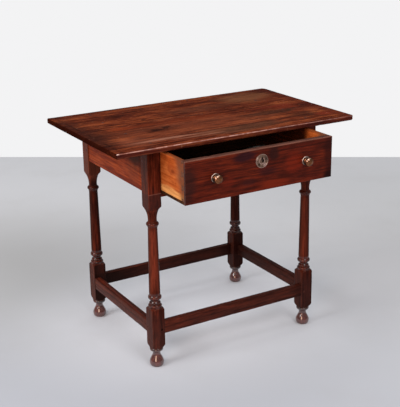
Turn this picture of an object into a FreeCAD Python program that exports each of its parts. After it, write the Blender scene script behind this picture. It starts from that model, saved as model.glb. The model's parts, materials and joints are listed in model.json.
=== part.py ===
"""Joined tavern table: turned legs, box stretchers, plank top and one dovetailed drawer.

Millimetres. +X is the table's length to the right, +Y runs to the back, +Z is up.
The origin is on the floor, in the middle of the four legs. The drawer is modelled part open.
"""
import FreeCAD, Part
import os

V = FreeCAD.Vector

# ---------------------------------------------------------------- driving dimensions
HEIGHT = 711.0
TOP_LENGTH = 838.0
TOP_WIDTH = 513.0
TOP_THICK = 16.0
TOP_ASIDE = 5.0              # the top is pegged down a little to the right
TOP_FORWARD = 10.5           # and hangs further over the front than over the back
TOP_CORNER = 9.0
TOP_JOINT_Y = 24.0           # where the two boards meet
LEG_SPREAD_X = 558.0         # centre to centre of the legs
LEG_SPREAD_Y = 421.0
LEG_SQUARE = 42.5
LEG_ARRIS = 1.6              # the bevel worn on the blocks' corners
DRAWER_OPEN = 140.0          # how far the drawer is drawn out here

# frame joinery
APRON_BOTTOM = 564.5
APRON_THICK = 22.0
APRON_SET = 2.5              # aprons lie behind the faces of the legs
RAIL_BOTTOM = 550.0
RAIL_THICK = 12.0            # the rail under the drawer is a thin board laid flat
RAIL_DEPTH = 48.0
RAIL_SET = 1.5
STRETCHER_BOTTOM = 110.0
STRETCHER_HIGH = 40.0
STRETCHER_THICK = 22.0
STRETCHER_SET = 1.0
TENON_THICK = 8.0
TENON_LONG = 23.0
MORTISE_SPARE = 1.0          # a mortise is deeper than its tenon
PEG_ACROSS = 7.0
PEG_LONG = 34.0

# drawer
DRAWER_WIDTH = 512.0
DRAWER_HIGH = 127.5
DRAWER_DEPTH = 405.0
DRAWER_LIFT = 0.3            # running clearance over the runners
FRONT_THICK = 21.0
SIDE_THICK = 12.0
BACK_THICK = 11.0
BOTTOM_THICK = 9.0
FRONT_LAP = 8.0              # wood left in front of the lapped dovetails
KNOB_SPREAD = 316.0
KNOB_HIGH = 628.5
POST_ACROSS = 4.6
ROSE_ROUND = 14.0
ROSE_THICK = 1.2             # the field of a rose, inside its raised rim
ROSE_RIM = 2.4
ESCUTCHEON_HIGH = 653.0
ESCUTCHEON_ROUND = 21.5
ESCUTCHEON_THICK = 1.4       # the field of the plate, inside its raised rim
ESCUTCHEON_RIM = 2.6
KEYHOLE_HIGH = 658.5
KEYHOLE_ROUND = 3.0
KEYHOLE_LONG = 8.2
BOLT_THROW = 10.0

# ---------------------------------------------------------------- derived places
UNDER_TOP = HEIGHT - TOP_THICK
LEG_X = LEG_SPREAD_X / 2
LEG_Y = LEG_SPREAD_Y / 2
HALF = LEG_SQUARE / 2
OUT_X = LEG_X + HALF         # outer faces of the leg blocks
OUT_Y = LEG_Y + HALF
IN_X = LEG_X - HALF          # inner faces of the leg blocks
IN_Y = LEG_Y - HALF
RAIL_TOP = RAIL_BOTTOM + RAIL_THICK
RAIL_BACK = -OUT_Y + RAIL_SET + RAIL_DEPTH
APRON_IN_X = OUT_X - APRON_SET - APRON_THICK

FACE_Y = -OUT_Y + 0.75 - DRAWER_OPEN
INNER_Y = FACE_Y + FRONT_THICK
BACK_Y = FACE_Y + DRAWER_DEPTH
DRAWER_Z0 = RAIL_TOP + DRAWER_LIFT
DRAWER_Z1 = DRAWER_Z0 + DRAWER_HIGH
SIDE_Z0 = DRAWER_Z0 + BOTTOM_THICK
SIDE_Z1 = DRAWER_Z1 - 0.5
DRAWER_X = DRAWER_WIDTH / 2


# ---------------------------------------------------------------- small tools
def box(x0, x1, y0, y1, z0, z1):
    return Part.makeBox(x1 - x0, y1 - y0, z1 - z0, V(x0, y0, z0))


def moved(shape, x=0.0, y=0.0, z=0.0):
    copy = shape.copy()
    copy.translate(V(x, y, z))
    return copy


def turned_about(shape, angle, axis=V(0, 0, 1), centre=V(0, 0, 0)):
    copy = shape.copy()
    copy.rotate(centre, axis, angle)
    return copy


def outline(start, *steps):
    """Edges through (radius, height) points: one point is a straight run, two or more pull a curve.

    A steep straight run is a curve of one span, and a flat one is a line.
    """
    edges = []
    here = V(start[0], 0, start[1])
    for step in steps:
        poles = [here] + [V(r, 0, z) for r, z in step]
        rise = abs(poles[-1].z - here.z)
        shift = abs(poles[-1].x - here.x)
        if len(poles) > 2 or 0 < 3.8 * shift < rise:
            curve = Part.BezierCurve()
            curve.setPoles(poles)
            edges.append(curve.toShape())
        else:
            edges.append(Part.makeLine(*poles))
        here = poles[-1]
    edges.append(Part.makeLine(here, V(start[0], 0, start[1])))
    return edges


def turning(start, *steps):
    """A solid turned about Z from an outline that starts and ends on the axis."""
    face = Part.Face(Part.Wire(outline(start, *steps)))
    return Part.Solid(face.revolve(V(0, 0, 0), V(0, 0, 1), 360).Shells[0])


def prism(points, direction):
    """A straight extrusion of a closed polygon."""
    return Part.Face(Part.makePolygon(points + [points[0]])).extrude(direction)


def softened(shape, radius, wanted):
    """Round the edges that the test picks."""
    return shape.makeFillet(radius, [e for e in shape.Edges if wanted(e)])


def bevelled(shape, size, wanted):
    """Take a flat bevel off the edges that the test picks."""
    return shape.makeChamfer(size, [e for e in shape.Edges if wanted(e)])


def runs_along(edge, axis):
    direction = edge.tangentAt(edge.FirstParameter)
    return abs(abs(direction.dot(axis)) - 1) < 1e-6


def let_in(shape, tools):
    """Cut the recesses that other pieces need out of this one."""
    near = [t for t in tools if t.BoundBox.intersect(shape.BoundBox)]
    return shape.cut(near) if near else shape


# ---------------------------------------------------------------- legs
def turned_leg():
    """One leg on its own axis: square stock turned between its two blocks, on a pear foot."""
    clear = LEG_SQUARE                      # the outline stands clear of the square blocks
    turned = turning(
        (0, 0), [(16.4, 0)],
        [(21, 2.4)], [(22.3, 15)], [(18, 29)],         # pear foot
        [(12.8, 36.6)],
        [(12.8, 42.6)],                                 # neck over the foot
        [(18.8, 47)], [(20.4, 54)],                     # collar
        [(31.5, 82)],                                   # lower block, its corners turned off
        [(clear, 82)], [(clear, 186)], [(31.5, 186)],
        [(21, 197)], [(21, 205)],                       # base ring
        [(15.6, 208.4)], [(13.2, 218.6)],               # neck
        [(19.4, 224)], [(20.4, 229)], [(19.4, 235)],    # torus
        [(17.2, 238)],
        [(16, 340), (14.3, 455)],                       # long taper
        [(18.2, 457.4)], [(18.9, 463)], [(18.2, 468)],  # upper ring
        [(14, 471)], [(15.4, 498)], [(20, 513)],        # trumpet under the upper block
        [(31.5, 532)],                                  # upper block
        [(clear, 532)], [(clear, UNDER_TOP)], [(0, UNDER_TOP)],
    )
    stock = box(-HALF, HALF, -HALF, HALF, 0, UNDER_TOP)
    stock = bevelled(stock, LEG_ARRIS, lambda e: runs_along(e, V(0, 0, 1)))
    foot_room = box(-HALF - 2, HALF + 2, -HALF - 2, HALF + 2, -1, 60)   # the blocks are planed, the foot isn't
    return turned.common(stock.fuse(foot_room))


# ---------------------------------------------------------------- rails with tenons
def rail(length, thick, z0, z1, tenon_z0, tenon_z1, arris):
    """A rail along X on its own axis, shoulder to shoulder, with a tenon at each end."""
    body = box(-length / 2, length / 2, -thick / 2, thick / 2, z0, z1)
    if arris:
        body = bevelled(body, arris, lambda e: runs_along(e, V(1, 0, 0)))
    tenons = []
    mortises = []
    for end in (-1, 1):
        for long, into in ((TENON_LONG, tenons), (TENON_LONG + MORTISE_SPARE, mortises)):
            x0, x1 = sorted((end * length / 2, end * (length / 2 + long)))
            into.append(box(x0, x1, -TENON_THICK / 2, TENON_THICK / 2, tenon_z0, tenon_z1))
    return body.fuse(tenons).removeSplitter(), mortises


def placed_rails():
    """Aprons and stretchers in place, and the mortises that they need in the legs."""
    pieces = {}
    mortises = []

    def place(name, made, angle, x, y):
        body, cutters = made
        pieces[name] = moved(turned_about(body, angle), x, y)
        mortises.extend(moved(turned_about(c, angle), x, y) for c in cutters)

    apron_heights = (APRON_BOTTOM, UNDER_TOP, APRON_BOTTOM + 12, UNDER_TOP - 12)
    apron_off = APRON_SET + APRON_THICK / 2
    side_apron = rail(2 * IN_Y, APRON_THICK, *apron_heights, 0)
    place("side_apron_left", side_apron, 90, -OUT_X + apron_off, 0)
    place("side_apron_right", side_apron, 90, OUT_X - apron_off, 0)
    place("rear_apron", rail(2 * IN_X, APRON_THICK, *apron_heights, 0), 0, 0, OUT_Y - apron_off)

    stretcher_top = STRETCHER_BOTTOM + STRETCHER_HIGH
    heights = (STRETCHER_BOTTOM, stretcher_top, STRETCHER_BOTTOM + 6, stretcher_top - 6)
    off = STRETCHER_SET + STRETCHER_THICK / 2
    side = rail(2 * IN_Y, STRETCHER_THICK, *heights, 2.0)
    long = rail(2 * IN_X, STRETCHER_THICK, *heights, 2.0)
    place("stretcher_left", side, 90, -OUT_X + off, 0)
    place("stretcher_right", side, 90, OUT_X - off, 0)
    place("stretcher_front", long, 0, 0, -OUT_Y + off)
    place("stretcher_rear", long, 0, 0, OUT_Y - off)
    return pieces, mortises


def drawer_rail():
    """The thin rail under the drawer, with flat tenons into the front legs, and its mortises."""
    y0 = -OUT_Y + RAIL_SET
    body = box(-IN_X, IN_X, y0, RAIL_BACK, RAIL_BOTTOM, RAIL_TOP)
    flat = (y0 + 7, y0 + 35, RAIL_BOTTOM + 2, RAIL_TOP - 2)
    long = 20.0
    tenons = [box(IN_X, IN_X + long, *flat), box(-IN_X - long, -IN_X, *flat)]
    deep = long + MORTISE_SPARE
    mortises = [box(IN_X, IN_X + deep, *flat), box(-IN_X - deep, -IN_X, *flat)]
    return body.fuse(tenons).removeSplitter(), mortises


# ---------------------------------------------------------------- pegs and nails
def peg(across, long):
    """A riven square peg along +Z."""
    return box(-across / 2, across / 2, -across / 2, across / 2, 0, long)


def pegs_through_aprons():
    """Two pegs through every apron tenon, driven from the outer faces of the legs."""
    pin = peg(PEG_ACROSS, PEG_LONG)
    inward = TENON_LONG * 0.46
    pegs = []
    for sx in (-1, 1):
        along_x = moved(turned_about(pin, -90 * sx, V(0, 1, 0)), sx * OUT_X)
        for sy in (-1, 1):
            for z in (APRON_BOTTOM + 34, APRON_BOTTOM + 94):
                pegs.append(moved(along_x, 0, sy * (IN_Y + inward), z))
        along_y = moved(turned_about(pin, 90, V(1, 0, 0)), 0, OUT_Y)
        for z in (APRON_BOTTOM + 50, APRON_BOTTOM + 110):
            pegs.append(moved(along_y, sx * (IN_X + inward), 0, z))
    return pegs


def pegs_through_stretchers():
    """One peg through every stretcher tenon; the two that meet in a leg pass each other."""
    pin = peg(PEG_ACROSS, PEG_LONG)
    inward = TENON_LONG * 0.46
    middle = STRETCHER_BOTTOM + STRETCHER_HIGH / 2
    pegs = []
    for sx in (-1, 1):
        for sy in (-1, 1):
            along_x = turned_about(pin, -90 * sx, V(0, 1, 0))
            pegs.append(moved(along_x, sx * OUT_X, sy * (IN_Y + inward), middle + 6.5))
            along_y = turned_about(pin, 90 * sy, V(1, 0, 0))
            pegs.append(moved(along_y, sx * (IN_X + inward), sy * OUT_Y, middle - 6.5))
    return pegs


def pegs_through_top():
    """Pegs that hold the two boards down on the legs, the side aprons and the rear apron."""
    long = 40.0
    pin = moved(peg(8.0, long), 0, 0, HEIGHT - long)
    places = [(sx * (LEG_X - 3), sy * (LEG_Y - 3)) for sx in (-1, 1) for sy in (-1, 1)]
    apron_x = OUT_X - APRON_SET - APRON_THICK / 2
    places += [(sx * apron_x, y) for sx in (-1, 1) for y in (-70, 90)]
    places += [(x, OUT_Y - APRON_SET - APRON_THICK / 2) for x in (-90, 90)]
    return [moved(pin, x, y) for x, y in places]


def nail(long, thick=3.0):
    """A square cut nail along +Z, tapered to half its thickness."""
    big = thick / 2
    small = thick / 4
    taper = Part.makeWedge(-big, 0, -big, -small, -small, big, long, big, small, small)
    return turned_about(taper, 90, V(1, 0, 0))


# ---------------------------------------------------------------- runners, guides and stops
def runner_set():
    """Runners, side guides and stops inside the frame, with the nails that hold them."""
    pieces = {}
    nails = []
    run_in = DRAWER_X - SIDE_THICK - 6
    stop_y = BACK_Y + DRAWER_OPEN + 0.3
    guide_top = RAIL_TOP + 28
    for side, s in (("left", -1), ("right", 1)):
        def span(a, b):
            return sorted((s * a, s * b))
        runner = box(*span(run_in, APRON_IN_X), RAIL_BACK, IN_Y, RAIL_BOTTOM - 1, RAIL_TOP)
        stub = box(*span(run_in + 5, IN_X - 5), RAIL_BACK - 8, RAIL_BACK, RAIL_BOTTOM + 3, RAIL_TOP - 3)
        pieces["drawer_runner_" + side] = runner.fuse(stub).removeSplitter()
        guide = box(*span(IN_X, APRON_IN_X), -IN_Y, IN_Y, RAIL_TOP, guide_top)
        pieces["drawer_guide_" + side] = guide
        stop = box(*span(run_in + 4, IN_X), stop_y, IN_Y, RAIL_TOP, RAIL_TOP + 24)
        pieces["drawer_stop_" + side] = stop
        up = nail(34)
        across = turned_about(nail(34), 90 * s, V(0, 1, 0))
        middle = (IN_X + APRON_IN_X) / 2
        for y in (-150, 0, 150):
            nails.append(moved(up, s * middle, y, RAIL_BOTTOM - 1))
            nails.append(moved(across, s * IN_X, y + 30, RAIL_TOP + 15))
        down = turned_about(nail(30), 180, V(1, 0, 0))
        nails.append(moved(down, s * (run_in + 11), (stop_y + IN_Y) / 2, RAIL_TOP + 24))
    return pieces, nails


# ---------------------------------------------------------------- top
def top_boards(sockets):
    """Two boards with eased edges, jointed edge to edge, with the lock bolt's mortise underneath."""
    x0 = TOP_ASIDE - TOP_LENGTH / 2
    x1 = TOP_ASIDE + TOP_LENGTH / 2
    y0 = -TOP_WIDTH / 2 - TOP_FORWARD
    y1 = TOP_WIDTH / 2 - TOP_FORWARD
    slab = box(x0, x1, y0, y1, UNDER_TOP, HEIGHT)
    slab = softened(slab, TOP_CORNER, lambda e: runs_along(e, V(0, 0, 1)))
    slab = bevelled(slab, 2.4, lambda e: e.BoundBox.ZMin > HEIGHT - 0.01)
    slab = bevelled(slab, 4.0, lambda e: e.BoundBox.ZMax < UNDER_TOP + 0.01)
    boards = {}
    for name, a, b in (("top_board_front", y0 - 1, TOP_JOINT_Y), ("top_board_rear", TOP_JOINT_Y, y1 + 1)):
        board = slab.common(box(x0 - 1, x1 + 1, a, b, UNDER_TOP - 1, HEIGHT + 1))
        board = bevelled(board, 0.6, lambda e: (
            e.Length > TOP_LENGTH * 0.9 and abs(e.CenterOfMass.y - TOP_JOINT_Y) < 0.01
            and e.CenterOfMass.z > HEIGHT - 0.01
        ))
        boards[name] = let_in(board, sockets)
    return boards


# ---------------------------------------------------------------- drawer
def tails(y_root, y_end, z0, z1, x0, x1, count=3):
    """Dovetails across the thickness of a drawer side, wider at their ends than at their roots."""
    pitch = (z1 - z0) / count
    reach = abs(y_end - y_root)
    root = pitch * 0.56
    flare = reach * 0.2
    shapes = []
    for i in range(count):
        z = z0 + pitch * (i + 0.5)
        points = [
            V(x0, y_root, z - root / 2), V(x0, y_end, z - root / 2 - flare),
            V(x0, y_end, z + root / 2 + flare), V(x0, y_root, z + root / 2),
        ]
        shapes.append(prism(points, V(x1 - x0, 0, 0)))
    return shapes


def drawer_boards():
    """Front, sides and back, dovetailed together, and the bottom boards nailed up under them."""
    back_z1 = SIDE_Z1 - 8
    back_in = BACK_Y - BACK_THICK
    pieces = {}
    sockets = []
    for side, s in (("left", -1), ("right", 1)):
        x0, x1 = sorted((s * DRAWER_X, s * (DRAWER_X - SIDE_THICK)))
        front_tails = tails(INNER_Y, FACE_Y + FRONT_LAP, SIDE_Z0, SIDE_Z1, x0, x1)
        back_tails = tails(back_in, BACK_Y, SIDE_Z0, back_z1, x0, x1)
        board = box(x0, x1, INNER_Y, back_in, SIDE_Z0, SIDE_Z1)
        pieces["drawer_side_" + side] = board.fuse(front_tails + back_tails).removeSplitter()
        sockets += front_tails + back_tails
    front = box(-DRAWER_X, DRAWER_X, FACE_Y, INNER_Y, DRAWER_Z0, DRAWER_Z1)
    front = softened(front, 2.0, lambda e: e.BoundBox.YMax < FACE_Y + 0.01)
    rabbet = box(-DRAWER_X, DRAWER_X, INNER_Y - 10, INNER_Y, DRAWER_Z0, SIDE_Z0)
    pieces["drawer_front"] = let_in(front, sockets + [rabbet])
    back = box(-DRAWER_X, DRAWER_X, back_in, BACK_Y, SIDE_Z0, back_z1)
    pieces["drawer_back"] = let_in(back, sockets)
    first = INNER_Y - 10
    wide = (BACK_Y - first) / 3
    for i, name in enumerate(("front", "middle", "rear")):
        y = first + i * wide
        board = box(-DRAWER_X, DRAWER_X, y, y + wide, DRAWER_Z0, SIDE_Z0)
        pieces["drawer_bottom_" + name] = board
    return pieces


def drawer_nails():
    """Nails up through the bottom boards into the sides, the front and the back."""
    up = nail(28)
    side_x = DRAWER_X - SIDE_THICK / 2
    first = INNER_Y - 10
    wide = (BACK_Y - first) / 3
    nails = []
    for s in (-1, 1):
        for i in range(3):
            for share in (0.27, 0.73):
                nails.append(moved(up, s * side_x, first + wide * (i + share), DRAWER_Z0))
    for x in (-180, -60, 60, 180):
        nails.append(moved(up, x, INNER_Y - 5, DRAWER_Z0))
        nails.append(moved(up, x, BACK_Y - BACK_THICK / 2, DRAWER_Z0))
    return nails


# ---------------------------------------------------------------- drawer furniture
def facing_front(shape, x, z, y=FACE_Y):
    """Turn a shape made along +Z so that it stands out of the drawer front."""
    return moved(turned_about(shape, 90, V(1, 0, 0)), x, y, z)


def rimmed_plate(round_to, field, rim, rim_wide):
    """A round plate lying on Z = 0, its rim standing above its field."""
    inner = round_to - rim_wide
    return turning(
        (0, 0), [(round_to, 0)],
        [(round_to - 0.8, rim)], [(inner, rim)],
        [(inner - 0.8, field)], [(0, field)],
    )


def post():
    """The square post behind a knob, along -Z from the back of its rose."""
    half = POST_ACROSS / 2
    return box(-half, half, -half, half, -FRONT_THICK - 7, ROSE_THICK + 1)


def knob():
    """A turned brass knob on its square post; the origin is the face of the drawer front."""
    head = turning(
        (0, ROSE_THICK), [(7.2, ROSE_THICK)],
        [(6, 3.6)], [(4.6, 9.2)],
        [(11.8, 12.6)], [(13.4, 16.6)], [(11.6, 20.8)],
        [(0, 25.4)],
    )
    return head.fuse(post()).removeSplitter()


def knob_rose():
    """The round plate behind a knob, with a raised rim, pierced for the post."""
    return rimmed_plate(ROSE_ROUND, ROSE_THICK, ROSE_RIM, 2.6).cut(post())


def knob_washer():
    """A square washer on the inside of the drawer front, with the post's end riveted over it."""
    return box(-7, 7, -7, 7, -FRONT_THICK - 2, -FRONT_THICK).cut(post())


def keyhole(grow=0.0):
    """The keyhole's section along +Z: a round over a straight slot."""
    deep = 80.0
    round_part = Part.makeCylinder(KEYHOLE_ROUND + grow, deep, V(0, 0, -deep / 2))
    slot = box(-1.6 - grow, 1.6 + grow, -KEYHOLE_LONG - grow, 0, -deep / 2, deep / 2)
    return round_part.fuse(slot).removeSplitter()


def escutcheon():
    """A round brass plate with a raised rim, pierced with the keyhole."""
    plate = rimmed_plate(ESCUTCHEON_ROUND, ESCUTCHEON_THICK, ESCUTCHEON_RIM, 3.0)
    return plate.cut(moved(keyhole(), 0, KEYHOLE_HIGH - ESCUTCHEON_HIGH))


def escutcheon_pin():
    """A round-headed brass pin along -Z, its head on the face of the escutcheon."""
    shank = box(-0.7, 0.7, -0.7, 0.7, -8, ESCUTCHEON_THICK)
    head = Part.makeCylinder(1.6, 0.8, V(0, 0, ESCUTCHEON_THICK))
    return head.fuse(shank).removeSplitter()


LOCK_HALF = 30.0
LOCK_DEEP = 12.0
LOCK_LOW = 56.0
LOCK_PLATE = 1.6
LOCK_EAR = 9.0
BOLT_WIDE = 24.0
BOLT_THICK = 5.0
BOLT_LONG = 40.0
BOLT_PLAY = 0.3


def lock_pieces():
    """A small lock nailed on the inside of the drawer front, its sliding bolt, and the bolt's mortise."""
    top = DRAWER_Z1 - 1
    case_y = INNER_Y + LOCK_PLATE
    low = top - LOCK_LOW
    case = box(-LOCK_HALF, LOCK_HALF, case_y, case_y + LOCK_DEEP, low + 3, top)
    ears = LOCK_HALF + LOCK_EAR
    plate = box(-ears, ears, INNER_Y, case_y, low, top)
    body = case.fuse(plate).removeSplitter()
    bolt_y = case_y + LOCK_DEEP / 2
    half_wide = BOLT_WIDE / 2
    half_thick = BOLT_THICK / 2
    bolt_top = top - BOLT_PLAY
    bolt_low = bolt_top - BOLT_LONG
    slide = box(
        -half_wide - BOLT_PLAY, half_wide + BOLT_PLAY,
        bolt_y - half_thick - BOLT_PLAY, bolt_y + half_thick + BOLT_PLAY,
        bolt_low - 2, top + 1,
    )
    key_way = moved(turned_about(keyhole(), 90, V(1, 0, 0)), 0, case_y, KEYHOLE_HIGH)
    key_way = key_way.common(box(-20, 20, INNER_Y - 1, bolt_y + 4.5, 0, HEIGHT))
    body = body.cut([slide, key_way])
    bolt = box(-half_wide, half_wide, bolt_y - half_thick, bolt_y + half_thick, bolt_low, bolt_top)
    bolt = bolt.cut(box(-4, 4, bolt_y - 10, bolt_y + 10, bolt_low - 1, bolt_low + 6))
    socket = box(
        -half_wide - 3, half_wide + 3,
        bolt_y + DRAWER_OPEN - 5, bolt_y + DRAWER_OPEN + 5,
        UNDER_TOP - 1, bolt_top + BOLT_THROW + 3,
    )
    return body, bolt, socket


def lock_nails():
    """Four small headed nails through the ears of the lock's plate into the drawer front."""
    head = box(-2.3, 2.3, -2.3, 2.3, -1.2, 0)
    inward = turned_about(nail(12, 2.2).fuse(head).removeSplitter(), 90, V(1, 0, 0))
    x = LOCK_HALF + LOCK_EAR / 2
    return [
        moved(inward, sx * x, INNER_Y + LOCK_PLATE, z)
        for sx in (-1, 1) for z in (DRAWER_Z1 - 10, DRAWER_Z1 - LOCK_LOW + 7)
    ]


# ---------------------------------------------------------------- the whole table
def build():
    nodes = {}

    rails, mortises = placed_rails()
    front_rail, rail_mortises = drawer_rail()
    mortises += rail_mortises
    apron_pegs = pegs_through_aprons()
    stretcher_pegs = pegs_through_stretchers()
    top_pegs = pegs_through_top()
    runners, runner_nails = runner_set()
    fastenings = apron_pegs + stretcher_pegs + top_pegs + runner_nails

    leg = turned_leg()
    for name, sx, sy in (
        ("leg_front_left", -1, -1), ("leg_front_right", 1, -1),
        ("leg_rear_left", -1, 1), ("leg_rear_right", 1, 1),
    ):
        nodes[name] = let_in(moved(leg, sx * LEG_X, sy * LEG_Y), mortises + fastenings)
    for name, shape in rails.items():
        nodes[name] = let_in(shape, fastenings)
    nodes["drawer_rail"] = let_in(front_rail, list(runners.values()))
    for name, shape in runners.items():
        nodes[name] = let_in(shape, runner_nails)

    lock_case, lock_bolt, bolt_socket = lock_pieces()
    nodes.update(top_boards(top_pegs + [bolt_socket]))
    nodes["apron_pegs"] = Part.makeCompound(apron_pegs)
    nodes["stretcher_pegs"] = Part.makeCompound(stretcher_pegs)
    nodes["top_pegs"] = Part.makeCompound(top_pegs)
    nodes["runner_nails"] = Part.makeCompound(runner_nails)

    bottom_nails = drawer_nails()
    plate_nails = lock_nails()
    knob_x = (-KNOB_SPREAD / 2, KNOB_SPREAD / 2)
    knobs = [facing_front(knob(), x, KNOB_HIGH) for x in knob_x]
    nodes["knobs"] = Part.makeCompound(knobs)
    nodes["knob_roses"] = Part.makeCompound([facing_front(knob_rose(), x, KNOB_HIGH) for x in knob_x])
    nodes["knob_washers"] = Part.makeCompound([facing_front(knob_washer(), x, KNOB_HIGH) for x in knob_x])
    pins = [facing_front(escutcheon_pin(), x, ESCUTCHEON_HIGH) for x in (-14.4, 14.4)]
    nodes["escutcheon_pins"] = Part.makeCompound(pins)
    nodes["escutcheon"] = let_in(facing_front(escutcheon(), 0, ESCUTCHEON_HIGH), pins)
    key_way = facing_front(keyhole(0.4), 0, KEYHOLE_HIGH)
    in_front = bottom_nails + plate_nails + knobs + pins + [key_way]
    for name, shape in drawer_boards().items():
        nodes[name] = let_in(shape, in_front if name == "drawer_front" else bottom_nails)
    nodes["drawer_bottom_nails"] = Part.makeCompound(bottom_nails)
    nodes["lock_case"] = let_in(lock_case, plate_nails)
    nodes["lock_bolt"] = lock_bolt
    nodes["lock_nails"] = Part.makeCompound(plate_nails)
    return nodes


os.makedirs("parts", exist_ok=True)
for node, shape in build().items():
    shape.exportStep("parts/" + node + ".step")
    print(node, len(shape.Solids), round(shape.Volume / 1000, 2), shape.isValid())
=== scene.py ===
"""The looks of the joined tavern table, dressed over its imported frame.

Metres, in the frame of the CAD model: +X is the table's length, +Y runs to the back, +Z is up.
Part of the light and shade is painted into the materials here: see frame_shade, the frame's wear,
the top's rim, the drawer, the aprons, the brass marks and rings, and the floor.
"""
import json
import math
import random

import bmesh
import bpy
from mathutils import Matrix, Vector, noise

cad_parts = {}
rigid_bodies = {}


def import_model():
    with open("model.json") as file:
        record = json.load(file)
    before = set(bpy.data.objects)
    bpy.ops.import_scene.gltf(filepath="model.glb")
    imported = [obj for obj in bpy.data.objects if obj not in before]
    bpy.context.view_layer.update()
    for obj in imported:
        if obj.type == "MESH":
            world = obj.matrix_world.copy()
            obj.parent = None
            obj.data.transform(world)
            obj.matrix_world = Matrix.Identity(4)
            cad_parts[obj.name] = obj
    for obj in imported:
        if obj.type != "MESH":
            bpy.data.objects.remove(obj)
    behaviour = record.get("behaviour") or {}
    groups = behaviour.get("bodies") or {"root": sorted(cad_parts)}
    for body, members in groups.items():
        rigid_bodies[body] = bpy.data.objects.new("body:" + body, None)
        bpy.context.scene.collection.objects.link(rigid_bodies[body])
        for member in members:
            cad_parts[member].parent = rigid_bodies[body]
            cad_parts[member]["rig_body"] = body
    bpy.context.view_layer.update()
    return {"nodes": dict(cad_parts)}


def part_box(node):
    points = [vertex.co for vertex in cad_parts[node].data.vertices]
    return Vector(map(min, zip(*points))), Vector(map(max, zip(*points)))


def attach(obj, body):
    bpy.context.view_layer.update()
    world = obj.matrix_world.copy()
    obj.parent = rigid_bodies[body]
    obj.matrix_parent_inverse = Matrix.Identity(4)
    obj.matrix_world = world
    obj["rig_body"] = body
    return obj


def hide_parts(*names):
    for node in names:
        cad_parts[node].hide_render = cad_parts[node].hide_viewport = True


MM = 0.001
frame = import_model()
NODES = frame["nodes"]
SEED = 1712


# ---------------------------------------------------------------- places, taken from the frame
TOP_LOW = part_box("top_board_front")[0]
TOP_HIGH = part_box("top_board_rear")[1]
JOINT_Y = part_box("top_board_front")[1].y         # where the two boards of the top meet
FACE_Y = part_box("drawer_front")[0].y             # the face of the drawer front
FRONT_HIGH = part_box("drawer_front")[1]
SIDE_LOW, SIDE_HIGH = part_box("drawer_side_left")
TENON = 23 * MM                                  # on each end of a stretcher, inside the leg
LEG_INNER_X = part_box("stretcher_front")[1].x - TENON         # of the right legs
LEG_INNER_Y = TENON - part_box("stretcher_left")[1].y          # of the front legs
SCRIBE_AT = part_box("drawer_rail")[1].z           # where a scribed line on the legs is painted as a highlight, at the rail's upper face
KNOB_ROUND = 13.4
ROSE_ROUND = 14.0


def centre_of(node):
    """The middle of a node's box."""
    low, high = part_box(node)
    return (low + high) / 2


PLATE_CENTRE = centre_of("escutcheon")
KEYHOLE_AT = PLATE_CENTRE + Vector((0, 0, 3.5 * MM))
KNOB_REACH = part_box("knobs")[1].x - KNOB_ROUND * MM
KNOB_CENTRES = [Vector((x, 0, centre_of("knobs").z)) for x in (-KNOB_REACH, KNOB_REACH)]


# ---------------------------------------------------------------- the photograph's camera, as fitted
CAMERA_AT = Vector((-1.4708, -2.5305, 1.4100))
CAMERA_YAW = 0.5288               # turned from +Y towards +X
CAMERA_PITCH = 0.3271             # looking down
CAMERA_ROLL = -0.0154
FOCAL_PIXELS = 938.4
IMAGE_WIDE = 400
IMAGE_HIGH = 407

AHEAD = Vector((math.sin(CAMERA_YAW), math.cos(CAMERA_YAW), 0))
PICTURE_RIGHT = Vector((math.cos(CAMERA_YAW), -math.sin(CAMERA_YAW), 0))
FORWARD = AHEAD * math.cos(CAMERA_PITCH) - Vector((0, 0, math.sin(CAMERA_PITCH)))
LEVEL_UP = PICTURE_RIGHT.cross(FORWARD)
CAMERA_RIGHT = PICTURE_RIGHT * math.cos(CAMERA_ROLL) + LEVEL_UP * math.sin(CAMERA_ROLL)
CAMERA_UP = LEVEL_UP * math.cos(CAMERA_ROLL) - PICTURE_RIGHT * math.sin(CAMERA_ROLL)

FRONTWARD = (0, -1, 0)
LEFTWARD = (-1, 0, 0)


# ---------------------------------------------------------------- colours
def tone(code):
    """A display colour written as six hex digits, as linear red, green, blue and alpha."""
    parts = [int(code[i:i + 2], 16) / 255 for i in (0, 2, 4)]
    return [c / 12.92 if c <= 0.04045 else ((c + 0.055) / 1.055) ** 2.4 for c in parts] + [1.0]


# ---------------------------------------------------------------- shader building
MATERIALS = {}                    # by the names used here, since Blender numbers a name that is taken


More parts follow.
